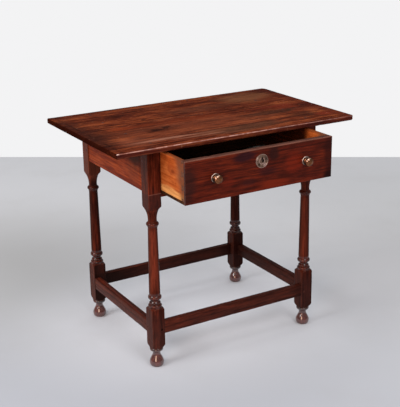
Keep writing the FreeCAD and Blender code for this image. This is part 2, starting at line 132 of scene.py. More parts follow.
class Shader:
    """A material under construction: each method adds nodes and returns an output socket."""

    def __init__(self, name):
        self.material = bpy.data.materials.new(name)
        MATERIALS[name] = self.material
        self.material.use_nodes = True
        self.tree = self.material.node_tree
        self.tree.nodes.clear()
        self.surface = self.tree.nodes.new("ShaderNodeBsdfPrincipled")
        output = self.tree.nodes.new("ShaderNodeOutputMaterial")
        self.tree.links.new(self.surface.outputs[0], output.inputs[0])

    def _put(self, socket, value):
        if isinstance(value, bpy.types.NodeSocket):
            self.tree.links.new(value, socket)
        elif value is not None:
            socket.default_value = value

    def put(self, name, value):
        """Set one of the surface's own inputs."""
        self._put(self.surface.inputs[name], value)

    def facing(self, way):
        """How squarely the surface faces a fixed direction of the room."""
        node = self.tree.nodes.new("ShaderNodeVectorMath")
        node.operation = "DOT_PRODUCT"
        self.tree.links.new(self.tree.nodes.new("ShaderNodeNewGeometry").outputs["Normal"], node.inputs[0])
        node.inputs[1].default_value = way
        return node.outputs["Value"]

    def place(self):
        """Where the point is in the table's own frame."""
        return self.tree.nodes.new("ShaderNodeTexCoord").outputs["Object"]

    def attribute(self, name):
        node = self.tree.nodes.new("ShaderNodeAttribute")
        node.attribute_name = name
        return node.outputs["Vector"]

    def scaled(self, vector, size, shift=(0, 0, 0)):
        node = self.tree.nodes.new("ShaderNodeMapping")
        node.inputs["Scale"].default_value = size
        node.inputs["Location"].default_value = shift
        self._put(node.inputs["Vector"], vector)
        return node.outputs[0]

    def noise(self, vector, detail, rough=0.5, bend=0.0):
        node = self.tree.nodes.new("ShaderNodeTexNoise")
        self._put(node.inputs["Vector"], vector)
        node.inputs["Scale"].default_value = 1.0
        node.inputs["Detail"].default_value = detail
        node.inputs["Roughness"].default_value = rough
        node.inputs["Distortion"].default_value = bend
        return node.outputs[0]

    def cloud(self, vector, density, detail=3.0, rough=0.5, bend=0.0, shift=(0, 0, 0)):
        """Soft noise, with a density of waves per metre along each axis."""
        return self.noise(self.scaled(vector, density, shift), detail, rough, bend)

    def math(self, kind, a, b=None, c=None):
        node = self.tree.nodes.new("ShaderNodeMath")
        node.operation = kind
        for socket, value in zip(node.inputs, (a, b, c)):
            self._put(socket, value)
        return node.outputs[0]

    def times(self, first, *others):
        """The product of all the values."""
        for other in others:
            first = self.math("MULTIPLY", first, other)
        return first

    def plus(self, share, value, base):
        """A share of one value added to another."""
        return self.math("MULTIPLY_ADD", value, share, base)

    def off(self, value, middle=0.0):
        """How far a value lies from a middle one, on either side."""
        return self.math("ABSOLUTE", self.math("SUBTRACT", value, middle))

    def hypot(self, a, b):
        squares = self.math("ADD", self.math("MULTIPLY", a, a), self.math("MULTIPLY", b, b))
        return self.math("POWER", squares, 0.5)

    def parts(self, vector):
        node = self.tree.nodes.new("ShaderNodeSeparateXYZ")
        self._put(node.inputs[0], vector)
        return node.outputs

    def joined(self, x, y, z):
        node = self.tree.nodes.new("ShaderNodeCombineXYZ")
        for socket, value in zip(node.inputs, (x, y, z)):
            self._put(socket, value)
        return node.outputs[0]

    def step(self, value, low, high, to_low=0.0, to_high=1.0):
        """A smooth step from low to high."""
        node = self.tree.nodes.new("ShaderNodeMapRange")
        node.interpolation_type = "SMOOTHSTEP"
        for socket, v in zip(node.inputs, (value, low, high, to_low, to_high)):
            self._put(socket, v)
        return node.outputs[0]

    def ramp(self, value, *stops):
        """A colour ramp; each stop is (place, colour)."""
        node = self.tree.nodes.new("ShaderNodeValToRGB")
        ramp = node.color_ramp
        while len(ramp.elements) < len(stops):
            ramp.elements.new(0.5)
        for element, (at, colour) in zip(ramp.elements, stops):
            element.position = at
            element.color = tone(colour)
        self._put(node.inputs[0], value)
        return node.outputs[0]

    def mix(self, share, a, b):
        node = self.tree.nodes.new("ShaderNodeMix")
        node.data_type = "RGBA"
        self._put(node.inputs[0], share)
        self._put(node.inputs[6], tone(a) if isinstance(a, str) else a)
        self._put(node.inputs[7], tone(b) if isinstance(b, str) else b)
        return node.outputs[2]

    def paint(self, colour, hue, share, *masks):
        """Lay a hue over a colour: by the share where every mask is 1, and not where a mask is 0."""
        return self.mix(self.times(share, *masks), colour, hue)

    def arris(self, radius, low, high):
        """1 on worn corners, 0 on open faces: how far a rounded normal turns from the true one."""
        bevel = self.tree.nodes.new("ShaderNodeBevel")
        bevel.samples = 6
        bevel.inputs["Radius"].default_value = radius
        true = self.tree.nodes.new("ShaderNodeNewGeometry").outputs["Normal"]
        dot = self.tree.nodes.new("ShaderNodeVectorMath")
        dot.operation = "DOT_PRODUCT"
        self.tree.links.new(bevel.outputs[0], dot.inputs[0])
        self.tree.links.new(true, dot.inputs[1])
        return self.step(dot.outputs["Value"], high, low)

    def crevice(self, reach, low, high):
        """1 deep in hollows of the piece itself, 0 in the open."""
        node = self.tree.nodes.new("ShaderNodeAmbientOcclusion")
        node.samples = 6
        node.only_local = True
        node.inputs["Distance"].default_value = reach
        return self.step(node.outputs["AO"], high, low)

    def bump(self, height, distance, strength):
        node = self.tree.nodes.new("ShaderNodeBump")
        self._put(node.inputs["Strength"], strength)
        node.inputs["Distance"].default_value = distance
        self._put(node.inputs["Height"], height)
        return node.outputs[0]

    def spot(self, at, size, ragged=0.35, grain=(9, 30, 30), inside=0.35):
        """A soft, ragged-edged patch, 1 at its heart; along an axis of size 0 it has no end."""
        where = self.scaled(self.place(), [1 / s if s else 0 for s in size],
                            [-a / s if s else 0 for a, s in zip(at, size)])
        length = self.tree.nodes.new("ShaderNodeVectorMath")
        length.operation = "LENGTH"
        self.tree.links.new(where, length.inputs[0])
        wander = self.plus(2 * ragged, self.cloud(self.place(), grain), -ragged)
        return self.step(self.math("ADD", length.outputs["Value"], wander), 1.0, inside)

    def lay_marks(self, colour, marks, ragged=0.35, grain=(9, 30, 30)):
        """Lay soft-edged marks on a colour: marks of stain, and painted light and shade.

        Each is (place, size, hue, share).
        """
        for at, size, hue, share in marks:
            colour = self.paint(colour, hue, share, self.spot(at, size, ragged, grain))
        return colour

    def finish(self, colour, rough, normal=None, **settings):
        self.put("Base Color", colour)
        self.put("Roughness", rough)
        self.put("Normal", normal)
        for name, value in settings.items():
            self.put(name.replace("_", " "), value)
        return self.material


# ---------------------------------------------------------------- wood
def wood_figure(s):
    """The grain of a piece, from the coordinates that run along it: broad tone, rings, streaks, fibres."""
    along = s.attribute("grain")
    x, y, z = s.parts(along)
    y = s.plus(0.030, s.cloud(along, (2.2, 9, 9), 2), y)
    rings = s.noise(s.joined(s.times(2.0, x), s.times(210, s.hypot(y, z)), 0.0), 3, 0.6)
    broad = s.cloud(along, (3.5, 15, 15), 3, 0.55)
    streak = s.cloud(along, (15, 170, 170), 4, 0.65, 0.3)
    fibre = s.cloud(along, (45, 1500, 1500), 2, 0.6)
    return broad, rings, streak, fibre


def wood(name, tones, worn, grime, rough, gloss, spread, edge, wide, mottle,
         patches=None, finish=None, polish=None):
    """Old waxed timber: three tones of figure, blotched polish, worn corners, dark wax in the hollows.

    Edge is how strongly the corners are worn to their own tone and wide how far in, in millimetres.
    Patches colour the wood under its wear, finish on top of it, and polish sets its gloss.
    """
    s = Shader(name)
    dark, mid, light = tones
    broad, rings, streak, fibre = wood_figure(s)
    figure = s.plus(0.36, broad, s.plus(0.33, rings, s.times(0.50, streak)))
    colour = s.ramp(figure, (0.60 - spread, dark), (0.60, mid), (0.60 + spread, light))
    blotch = s.step(s.cloud(s.place(), (24, 40, 40), 4, 0.65), 0.50, 0.70)
    colour = s.paint(colour, dark, mottle, blotch)
    if patches:
        colour = patches(s, colour)
        lines = s.step(s.math("ADD", streak, rings), 1.02, 0.86)
        colour = s.paint(colour, dark, 0.35, lines)
    pores = s.step(fibre, 0.56, 0.70)
    colour = s.paint(colour, dark, 0.35, pores)
    ragged = s.step(s.cloud(s.attribute("grain"), (30, 160, 160)), 0.35, 0.62)
    colour = s.paint(colour, worn, edge, s.arris(wide * MM, 0.80, 0.995), ragged)
    colour = s.paint(colour, grime, 0.6, s.crevice(12 * MM, 0.55, 0.95))
    if finish:
        colour = finish(s, colour)
    patchy = s.plus(0.22, s.cloud(s.place(), (14, 14, 14)), rough - 0.11)
    sheen = s.plus(0.12, pores, patchy)
    depth = 0.7
    if polish:
        gloss, sheen, depth = polish(s, gloss, sheen, depth)
    s.put("Specular IOR Level", gloss)
    relief = s.bump(s.plus(1.5, streak, fibre), 0.12 * MM, depth)
    return s.finish(colour, sheen, relief)


# ---------------------------------------------------------------- the top
TOP_TONE_PATCHES = (
    ((-0.10, -0.100, 0), (0.42, 0.130, 0), "80422a", 0.40),
    ((-0.30, -0.180, 0), (0.10, 0.070, 0), "8c4c34", 0.45),
    ((-0.19, -0.095, 0), (0.08, 0.030, 0), "561e08", 0.50),
    ((0.31, -0.060, 0), (0.06, 0.080, 0), "7e2c14", 0.50),
    ((-0.10, -0.014, 0), (0.30, 0.034, 0), "6e2a10", 0.75),
    ((-0.28, -0.012, 0), (0.06, 0.030, 0), "7c3012", 0.7),
    ((0.28, -0.022, 0), (0.16, 0.024, 0), "6c2412", 0.6),
    ((0.28, 0.150, 0), (0.14, 0.090, 0), "7c4c30", 0.7),
    ((0.34, 0.080, 0), (0.07, 0.050, 0), "6a2c16", 0.6),
    ((0.05, 0.090, 0), (0.16, 0.050, 0), "543022", 0.5),
    ((0.24, -0.088, 0), (0.15, 0.036, 0), "3e2216", 0.75),
    ((0.02, -0.205, 0), (0.22, 0.050, 0), "643e2a", 0.6),
    ((0.30, -0.165, 0), (0.08, 0.060, 0), "3a160c", 0.75),
    ((-0.20, -0.190, 0), (0.17, 0.014, 0), "9c6650", 0.8),
    ((-0.12, -0.214, 0), (0.12, 0.010, 0), "925c46", 0.7),
    ((0.37, -0.190, 0), (0.05, 0.036, 0), "702410", 0.8),
    ((-0.43, 0.000, 0), (0.125, 0.32, 0), "30140e", 0.75),
)
TOP_KNOTS = (
    ((-0.150, -0.068, 0), (0.020, 0.012, 0), "1a0805", 0.95),
    ((-0.188, -0.086, 0), (0.040, 0.012, 0), "200c08", 0.85),
    ((-0.215, -0.100, 0), (0.030, 0.006, 0), "1a0805", 0.9),
    ((-0.162, 0.054, 0), (0.010, 0.008, 0), "200e08", 0.8),
    ((-0.096, 0.197, 0), (0.014, 0.010, 0), "260e08", 0.8),
    ((0.296, -0.090, 0), (0.012, 0.010, 0), "2e2412", 0.7),
)


def top_patches(s, colour):
    """The top's lighter and darker patches, a dark knot and its cracks, pale nicks and the joint's line."""
    colour = s.lay_marks(colour, TOP_TONE_PATCHES, 0.4)
    colour = s.lay_marks(colour, TOP_KNOTS, 0.6, (40, 90, 30))
    cracks = s.cloud(s.place(), (26, 330, 1), 3, 0.6)
    knot = s.spot((-0.172, -0.080, 0), (0.075, 0.034, 0), 0.3)
    colour = s.paint(colour, "140604", 1.0, knot, s.step(cracks, 0.50, 0.56))
    colour = s.paint(colour, "1e0a06", 0.75, s.step(cracks, 0.64, 0.70))
    nicks = s.cloud(s.place(), (90, 260, 1), 2, shift=(3, 5, 0))
    colour = s.paint(colour, "b07c60", 0.6, s.step(nicks, 0.70, 0.76))
    y = s.parts(s.place())["Y"]
    joint = s.step(s.off(y, JOINT_Y), 3.5 * MM, 1.2 * MM)
    seen = s.spot((-0.04, 0, 0), (0.19, 0, 0), 0.3)
    return s.paint(colour, "8e5a44", 0.6, joint, seen)


def from_top_ends(s, x):
    """The distance from the nearer end of the top."""
    return s.math("MINIMUM", s.math("SUBTRACT", x, TOP_LOW.x), s.math("SUBTRACT", TOP_HIGH.x, x))


def top_edges(s, colour):
    """The top's rim: blackened at the ends and the back, pale along the front corner.

    Its front face is darker with grime and painted shade; its pale corner is wear and a painted highlight.
    """
    x, y, z = s.parts(s.place())
    stray = s.cloud(s.place(), (60, 60, 60))
    near_end = from_top_ends(s, x)
    from_back = s.times(0.55, s.math("SUBTRACT", TOP_HIGH.y, y))
    near_rim = s.plus(6 * MM, stray, s.math("MINIMUM", near_end, from_back))
    right_band = s.step(s.plus(20 * MM, stray, s.math("SUBTRACT", TOP_HIGH.x, x)), 62 * MM, 40 * MM)
    colour = s.paint(colour, "4e180c", 0.55, right_band)
    groove = s.step(s.off(x, TOP_LOW.x + 24 * MM), 5.0 * MM, 1.5 * MM)
    colour = s.paint(colour, "220c06", 0.6, groove, s.step(stray, 0.42, 0.58))
    colour = s.paint(colour, "220a06", 0.85, s.step(near_rim, 10 * MM, 5 * MM))
    from_front = s.math("SUBTRACT", y, TOP_LOW.y)
    depth = s.math("SUBTRACT", TOP_HIGH.z, z)
    front_face = s.step(from_front, 3.0 * MM, 1.0 * MM)
    upper = s.times(s.step(from_front, 3.6 * MM, 2.0 * MM), s.step(depth, 3.0 * MM, 1.6 * MM))
    lower = s.times(front_face, s.step(depth, 12.0 * MM, 14.0 * MM))
    rubbed = s.plus(0.6, s.step(stray, 0.34, 0.60), 0.35)
    rubbed = s.times(rubbed, s.step(x, 0.42, -0.05, 0.35, 1.0))
    # grime and painted shade: the rim's front face darker
    colour = s.paint(colour, "38191a", 0.5, front_face)
    # wear with a painted highlight: pale along the front's upper corner, and paler along its lower edge
    colour = s.paint(colour, "b88a7e", 1.0, upper, rubbed)
    colour = s.paint(colour, "8a5a4a", 0.6, lower, rubbed)
    # a paler spot at the left end of the front corner
    pale_left_corner = s.times(upper, s.step(near_end, 13 * MM, 6 * MM), s.step(x, 0.0, -0.1))
    return s.paint(colour, "e0bcb0", 0.9, pale_left_corner)


def top_polish(s, gloss, rough, depth):
    """Gloss of the top: none on its blackened rim."""
    x, y, _ = s.parts(s.place())
    near_rim = s.math("MINIMUM", from_top_ends(s, x), s.math("SUBTRACT", TOP_HIGH.y, y))
    return s.times(gloss, s.step(near_rim, 2 * MM, 12 * MM)), rough, depth


# ---------------------------------------------------------------- the drawer
FRONT_STAINS = (
    ((0.115, 0, 0.628), (0.040, 0, 0.045), "6c1e0c", 0.8),
    ((0.045, 0, 0.577), (0.075, 0, 0.018), "6c200c", 0.8),
    ((-0.112, 0, 0.606), (0.026, 0, 0.024), "621c0e", 0.7),
    ((-0.060, 0, 0.674), (0.050, 0, 0.018), "1e0e16", 0.8),
    ((0.042, 0, 0.668), (0.024, 0, 0.028), "20100e", 0.75),
    ((0.020, 0, 0.619), (0.050, 0, 0.016), "2a1012", 0.75),
    ((-0.045, 0, 0.596), (0.034, 0, 0.016), "321414", 0.6),
    ((-0.250, 0, 0.620), (0.042, 0, 0.090), "281614", 0.7),
    ((0.246, 0, 0.640), (0.030, 0, 0.080), "260a08", 0.75),
    ((0.248, 0, 0.572), (0.034, 0, 0.034), "120404", 0.9),
)
SIDE_STAINS = (
    ((0, -0.300, 0.648), (0, 0.036, 0.024), "8a3a18", 0.65),
    ((0, -0.303, 0.646), (0, 0.012, 0.008), "64260e", 0.6),
)


def front_patches(s, colour):
    """Darker polish round the keyhole and at the ends of the drawer front, redder where it is rubbed.

    Its top edge is pale with wear and a painted highlight, darker behind that, and the keyhole is black as
    painted shade.
    """
    colour = s.lay_marks(colour, FRONT_STAINS, 0.4)
    x, y, z = s.parts(s.place())
    end = s.step(s.off(x), FRONT_HIGH.x - 1.2 * MM, FRONT_HIGH.x - 0.2 * MM)
    colour = s.paint(colour, "463230", 0.7, end)
    lap = s.step(y, FACE_Y + 5 * MM, FACE_Y + 7 * MM)
    colour = s.paint(colour, "6e4836", 0.85, end, lap)
    rim = FRONT_HIGH.z
    # wear with a painted highlight: the front's top edge paler
    colour = s.paint(colour, "784c3e", 0.85, s.step(z, rim - 3.0 * MM, rim - 1.2 * MM))
    inner = s.times(s.step(z, rim - 1.2 * MM, rim - 0.6 * MM), s.step(y, FACE_Y + 5 * MM, FACE_Y + 10 * MM))
    colour = s.paint(colour, "42241a", 0.6, inner)
    # painted shade: the keyhole painted black
    return s.paint(colour, "080403", 1.0, s.spot(KEYHOLE_AT, (6.5 * MM, 0, 8.5 * MM), 0.1))


def side_patches(s, colour):
    """The drawer's sides: hand grime behind the front, a pale strip low down where they rub, a knot,
    and the painted shadow of the top, blackening their inner faces further in.
    """
    wander = s.cloud(s.place(), (20, 20, 40))
    x, y, z = s.parts(s.place())
    strip = s.step(s.plus(14 * MM, wander, z), SIDE_LOW.z + 34 * MM, SIDE_LOW.z + 22 * MM)
    colour = s.paint(colour, "f0ac66", 0.8, strip)
    colour = s.lay_marks(colour, SIDE_STAINS, 0.6, (25, 25, 25))
    handled = s.plus(-0.25, z, s.math("ADD", s.plus(30 * MM, wander, y), 0.16))
    grime = s.step(handled, SIDE_LOW.y + 70 * MM, SIDE_LOW.y + 28 * MM)
    colour = s.paint(colour, "543a2e", 0.8, grime)
    rim = s.step(s.plus(4 * MM, wander, z), SIDE_HIGH.z - 1.5 * MM, SIDE_HIGH.z + 1.0 * MM)
    colour = s.paint(colour, "6a3c22", 0.7, rim)
    # painted shadow of the top: the inner faces of the sides black further in
    deep = s.step(s.plus(10 * MM, wander, y), -0.262, -0.236)
    shaded_inner_face = s.step(s.off(x), -SIDE_HIGH.x + 0.6 * MM, -SIDE_HIGH.x + 0.2 * MM)
    return s.paint(colour, "1a0a06", 0.93, shaded_inner_face, deep)


# ---------------------------------------------------------------- the frame under the top
def frame_place(s):
    """The point's coordinates, and its height made to waver, on average 25 mm above the true one."""
    x, y, z = s.parts(s.place())
    return x, y, z, s.plus(50 * MM, s.cloud(s.place(), (12, 12, 12)), z)


def frame_wear_and_painted_light(s, colour):
    """Redder columns and dust low down, with painted light and shade.

    The columns' flanks are darkened, the faces turned to the left lighter and greyer, and a scribed line is
    a painted highlight.
    """
    _, y, z, height = frame_place(s)
    column = s.times(s.step(height, 0.25, 0.30), s.step(height, 0.50, 0.46))
    colour = s.paint(colour, "98422c", 0.32, column, s.step(y, 0.10, -0.05))
    # painted shade on the columns' flanks
    flanks = s.step(s.off(s.facing(PICTURE_RIGHT)), 0.40, 0.92)
    colour = s.paint(colour, "240b06", 0.62, column, flanks)
    # painted light: the faces turned to the left lighter and greyer
    colour = s.paint(colour, "503024", 0.26, s.step(s.facing(LEFTWARD), 0.70, 0.95))
    colour = s.paint(colour, "543630", 0.34, s.step(height, 0.24, 0.10))
    # painted highlight: a pale line at the scribed line, on faces turned to the front
    scribe = s.times(s.step(s.off(z, SCRIBE_AT), 1.6 * MM, 0.6 * MM), s.step(s.facing(FRONTWARD), 0.5, 0.9))
    return s.paint(colour, "8a5648", 0.7, scribe)


def frame_shade(s, colour):
    """The shade that lies on the frame in the photograph, painted on: from elsewhere it looks too dark.

    It deepens towards the back right, on the rear legs, on the bars between the right legs, and on what
    is turned to the picture's right there.
    """
    x, y, z, height = frame_place(s)
    back = s.step(y, -0.12, 0.16)
    right = s.step(x, -0.30, 0.25)
    colour = s.paint(colour, "1c0e0c", 0.62, s.plus(0.9, right, 0.1), s.plus(0.75, back, 0.25))
    low_rear = s.times(back, s.step(s.facing(FRONTWARD), 0.6, 0.9), s.step(height, 0.30, 0.24))
    colour = s.paint(colour, "1c1210", 1.0, low_rear, s.plus(-0.40, right, 0.72))
    behind = s.times(s.step(y, 0.10, 0.18), s.step(s.facing(FRONTWARD), 0.5, 0.9))
    neck = s.times(s.step(height, 0.47, 0.51), s.step(z, 0.60, 0.56))
    colour = s.paint(colour, "180c0a", 0.75, behind, neck)
    far_left = s.times(s.step(x, -0.12, -0.22), s.step(height, 0.20, 0.17))
    colour = s.paint(colour, "100c0a", 0.5, behind, far_left)
    between_legs = s.step(s.off(y), -LEG_INNER_Y - 0.45 * MM, -LEG_INNER_Y - 1.25 * MM)
    on_right = s.step(x, 0.20, 0.25)
    colour = s.paint(colour, "141010", 0.25, s.step(height, 0.22, 0.19), between_legs, on_right)
    turned_away = s.step(s.facing(PICTURE_RIGHT), -0.15, 0.45)
    return s.paint(colour, "1c0806", 0.55, on_right, s.step(height, 0.52, 0.48), turned_away)


def frame_ends(s, colour):
    """The front legs' blocks, darkened by hands and shoes, the rear left neck, and the brown feet."""
    x, y, z, height = frame_place(s)
    leg = s.step(s.off(x), LEG_INNER_X - 1.55 * MM, LEG_INNER_X - 0.75 * MM)
    front_leg = s.times(leg, s.step(y, LEG_INNER_Y + 1.25 * MM, LEG_INNER_Y + 0.45 * MM))
    colour = s.paint(colour, "241a1a", 0.28, front_leg, s.step(height, 0.22, 0.19))
    over_neck = s.times(s.step(height, 0.525, 0.545), s.step(z, SCRIBE_AT + 2 * MM, SCRIBE_AT - 2 * MM))
    colour = s.paint(colour, "2a1e1e", 0.45, front_leg, over_neck)
    rear_upper = s.times(s.step(y, 0.10, 0.18), s.step(height, 0.50, 0.53))
    colour = s.paint(colour, "84442e", 1.0, rear_upper, s.plus(-0.3, s.step(x, -0.30, 0.25), 0.3))
    return s.paint(colour, "5e281e", 0.75, s.step(height, 0.082, 0.056))


def frame_patches(s, colour):
    """The frame's colouring, laid on in turn: wear with painted light, painted shade, its blocks and feet.
    """
    for lay in (frame_wear_and_painted_light, frame_shade, frame_ends):
        colour = lay(s, colour)
    return colour


def frame_polish(s, gloss, rough, depth):
    """Gloss of the frame: the rings and feet, rubbed by shoes and cloths, shine more than the rest."""
    z = s.parts(s.place())["Z"]
    foot = s.step(z, 64 * MM, 56 * MM)
    rubbed = foot
    for low, high, share in ((0.197, 0.244, 0.9), (0.458, 0.472, 0.4)):
        band = s.times(share, s.step(z, low - 2 * MM, low), s.step(z, high + 2 * MM, high))
        rubbed = s.math("MAXIMUM", rubbed, band)
    rest = s.math("SUBTRACT", 1.0, rubbed)
    s.put("Coat Weight", s.times(0.6, foot))
    s.put("Coat Roughness", 0.10)
    gloss = s.plus(0.5, foot, s.plus(0.5 - gloss, rubbed, gloss))
    rough = s.plus(0.15, rubbed, s.times(rest, rough))
    return gloss, rough, s.plus(depth - 0.12, rest, 0.12)


# a smoky stain, and the painted shadow that the top's overhang casts on the apron
APRON_STAIN_AND_SHADOW = (
    ((0, -0.148, 0.664), (0, 0.090, 0.052), "2c1c12", 0.85),
    ((0, -0.186, 0.640), (0, 0.020, 0.060), "3a1a10", 0.5),
    ((0, -0.130, 0.600), (0, 0.060, 0.036), "66301e", 0.4),
)


def apron_patches(s, colour):
    """The side aprons: a smoky stain and the painted shadow of the top's overhang, next to the front legs.
    """
    return s.lay_marks(colour, APRON_STAIN_AND_SHADOW, 0.4)


wood("top_wood", ("2a0b04", "622510", "9a4e28"), "8a5040", "160604", rough=0.58, gloss=0.02,
     spread=0.12, edge=0.3, wide=3.0, mottle=0.45, patches=top_patches, finish=top_edges,
     polish=top_polish)
wood("frame_wood", ("240b07", "4a1b0f", "702c1b"), "96604e", "0c0403", rough=0.26, gloss=0.035,
     spread=0.14, edge=0.8, wide=3.0, mottle=0.4, patches=frame_patches, polish=frame_polish)
wood("drawer_front_wood", ("2c0c06", "4e170b", "6c2510"), "a06e5c", "0c0403", rough=0.40, gloss=0.06,
     spread=0.14, edge=0.75, wide=3.2, mottle=0.3, patches=front_patches)
wood("drawer_wood", ("8a3a14", "b05422", "c46a34"), "c08050", "3a1e12", rough=0.60, gloss=0.04,
     spread=0.14, edge=0.3, wide=1.6, mottle=0.45, patches=side_patches)
wood("inner_wood", ("2a1810", "402619", "5a3826"), "6e4c38", "120a06", rough=0.7, gloss=0.08,
     spread=0.12, edge=0.2, wide=1.6, mottle=0.4)
# painted shade: a darker copy of the drawer's wood for its back and bottom boards, which lie in shade
wood("shaded_drawer_wood", ("24140c", "38200f", "4c2c18"), "5a3a28", "0e0804", rough=0.7, gloss=0.06,
     spread=0.12, edge=0.2, wide=1.6, mottle=0.4)
wood("apron_wood", ("581a08", "7c2e10", "98421c"), "8a5040", "1a0805", rough=0.42, gloss=0.035,
     spread=0.11, edge=0.4, wide=2.0, mottle=0.3, patches=apron_patches)
wood("peg_wood", ("2a100a", "401a11", "5a2819"), "7a4a3a", "0a0403", rough=0.42, gloss=0.10,
     spread=0.12, edge=0.5, wide=1.0, mottle=0.3)


# ---------------------------------------------------------------- metal
def metal(name, base, worn, dark, rough, deep, rings=(), marks=(), blotch=0.6):
    """Old metal: colour that drifts, dark tarnish in the hollows and bright rubbed edges.

    Deep is the relief's depth in millimetres. Rings are raised lines round a centre, on a plate that
    faces the front: (centre, radius, width, share).
    """
    s = Shader(name)
    drift = s.cloud(s.place(), (190, 190, 190), 4)
    relief = s.cloud(s.place(), (900, 900, 900))
    colour = s.paint(tone(base), dark, blotch, s.step(drift, 0.46, 0.68))
    for centre, radius, width, share in rings:
        from_centre = s.parts(s.scaled(s.place(), (1, 1, 1), -centre))
        far = s.hypot(from_centre["X"], from_centre["Z"])
        line = s.step(s.off(far, radius * MM), width * MM, width * MM * 0.4)
        colour = s.paint(colour, worn, share, line)
        relief = s.plus(3.0, line, relief)
    colour = s.lay_marks(colour, marks, 0.25, (160, 160, 160))
    colour = s.paint(colour, worn, 0.8, s.arris(1.0 * MM, 0.8, 0.99))
    colour = s.paint(colour, dark, 1.0, s.crevice(5 * MM, 0.5, 0.9))
    sheen = s.plus(0.25, drift, rough - 0.1)
    return s.finish(colour, sheen, s.bump(relief, deep * MM, 0.5), Metallic=1.0)


def marks_round(centres, marks):
    """The same marks round each centre; a mark is (right, up, wide, high, hue, share), in millimetres."""
    return [((c.x + right * MM, 0, c.z + up * MM), (wide * MM, 0, high * MM), hue, share)
            for c in centres for right, up, wide, high, hue, share in marks]


# painted highlights: the pale marks on the knobs' rims; painted shade: the dark mark low on each knob
KNOB_HIGHLIGHTS_AND_SHADE = (
    (-1.0, 11.4, 4.8, 2.4, "e6c2ac", 0.85),
    (-6.6, 9.4, 3.8, 2.6, "e6c2ac", 0.85),
    (-10.6, 5.0, 2.8, 3.4, "deb8a0", 0.85),
    (3.0, -9.0, 9.0, 4.0, "5a3020", 0.7),
)
# painted shade on the roses: dark marks below and beside each knob
ROSE_SHADE_MARKS = (
    (-2.0, -11.0, 14.0, 10.0, "24140c", 0.9),
    (-8.0, -4.5, 4.0, 4.0, "180c06", 0.9),
    (-12.0, -3.0, 3.6, 6.0, "5a4a34", 0.7),
    (6.0, 11.0, 6.0, 4.0, "6a5644", 0.7),
)
# painted highlights (the pale marks), painted shade (the dark ones), and the keyhole painted black as
# painted shade
PLATE_HIGHLIGHTS_AND_SHADE = (
    (13.0, -14.5, 12.0, 9.0, "dcb8ac", 0.7),
    (-16.5, 11.0, 6.0, 11.0, "c8a898", 0.7),
    (-20.0, -8.0, 3.0, 12.0, "c0a698", 0.7),
    (15.0, 6.0, 8.0, 12.0, "4a3830", 0.7),
    (-10.0, -10.0, 5.0, 7.0, "30221a", 0.8),
    (4.0, 0.0, 4.2, 8.5, "0c0604", 1.0),
    (1.0, 8.0, 4.8, 4.8, "0c0604", 1.0),
)
# the roses' pale rings: rubbed brass, with a painted highlight on the rim
ROSE_WORN_AND_LIT_RINGS = [(c, *ring) for c in KNOB_CENTRES for ring in ((12.6, 1.9, 0.85), (6.5, 2.0, 0.6))]
PLATE_RINGS = [(PLATE_CENTRE, 20.4, 2.0, 0.40), (PLATE_CENTRE, 9.0, 1.5, 0.70)]

metal("brass", "8a5a3c", "ecc8b0", "241008", rough=0.30, deep=0.05,
      marks=marks_round(KNOB_CENTRES, KNOB_HIGHLIGHTS_AND_SHADE), blotch=0.45)
metal("rose_brass", "8a6c54", "f4d8cc", "2c1a10", rough=0.42, deep=0.05,
      rings=ROSE_WORN_AND_LIT_RINGS, marks=marks_round(KNOB_CENTRES, ROSE_SHADE_MARKS), blotch=0.4)
metal("plate_brass", "8a6e5c", "dab4a6", "2e2019", rough=0.42, deep=0.08,
      rings=PLATE_RINGS, marks=marks_round([PLATE_CENTRE], PLATE_HIGHLIGHTS_AND_SHADE), blotch=0.5)
metal("iron", "2a2420", "4a4038", "100c0a", rough=0.6, deep=0.12)
metal("dark_iron", "0e0c0b", "1c1814", "060505", rough=0.7, deep=0.10)
metal("rubbed_iron", "7c766e", "b4aca0", "3a3630", rough=0.5, deep=0.08)


# ---------------------------------------------------------------- meshes
chance = random.Random(SEED)
AXES = {"X": (0, 1, 2), "Y": (1, 0, 2), "Z": (2, 0, 1)}     # the grain's axis first, then the two across it


def add_grain(mesh, axis):
    """Store for each vertex its place along and across the grain, in a part of the tree of its own."""
    order = AXES[axis]
    along_tree = chance.uniform(-9, 9)
    from_heart = chance.choice((-1, 1)) * chance.uniform(0.04, 0.05)
    aside = chance.choice((-1, 1)) * chance.uniform(0.02, 0.09)
    shift = Vector((along_tree, from_heart, aside))
    centre = sum((v.co for v in mesh.vertices), Vector()) / len(mesh.vertices)
    grain = mesh.attributes.new("grain", "FLOAT_VECTOR", "POINT")
    for v, data in zip(mesh.vertices, grain.data):
        place = v.co - centre
        data.vector = Vector([place[i] for i in order]) + shift


def add_piece(name, bm, slot, node, axis=None, look=None, sharp=38):
    """Put a mesh in the scene on the body of the node that it stands for.

    Axis is the way that its grain runs, look its material where that isn't named like its slot, and
    edges sharper than so many degrees stay sharp.
    """
    mesh = bpy.data.meshes.new(name)
    bmesh.ops.recalc_face_normals(bm, faces=bm.faces)
    bm.to_mesh(mesh)
    bm.free()
    if axis:
        add_grain(mesh, axis)
    for face in mesh.polygons:
        face.use_smooth = True
    mesh.set_sharp_from_angle(angle=math.radians(sharp))
    piece = bpy.data.objects.new(name, mesh)
    bpy.context.scene.collection.objects.link(piece)
    mesh.materials.append(MATERIALS[look or slot])
    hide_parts(node)
    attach(piece, NODES[node]["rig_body"])
    return piece


def clean_copy(node):
    """A node's mesh welded, with its flat faces made whole."""
    bm = bmesh.new()
    bm.from_mesh(NODES[node].data)
    bmesh.ops.remove_doubles(bm, verts=bm.verts, dist=2e-6)
    bmesh.ops.dissolve_limit(bm, angle_limit=math.radians(0.6), verts=bm.verts, edges=bm.edges)
    return bm


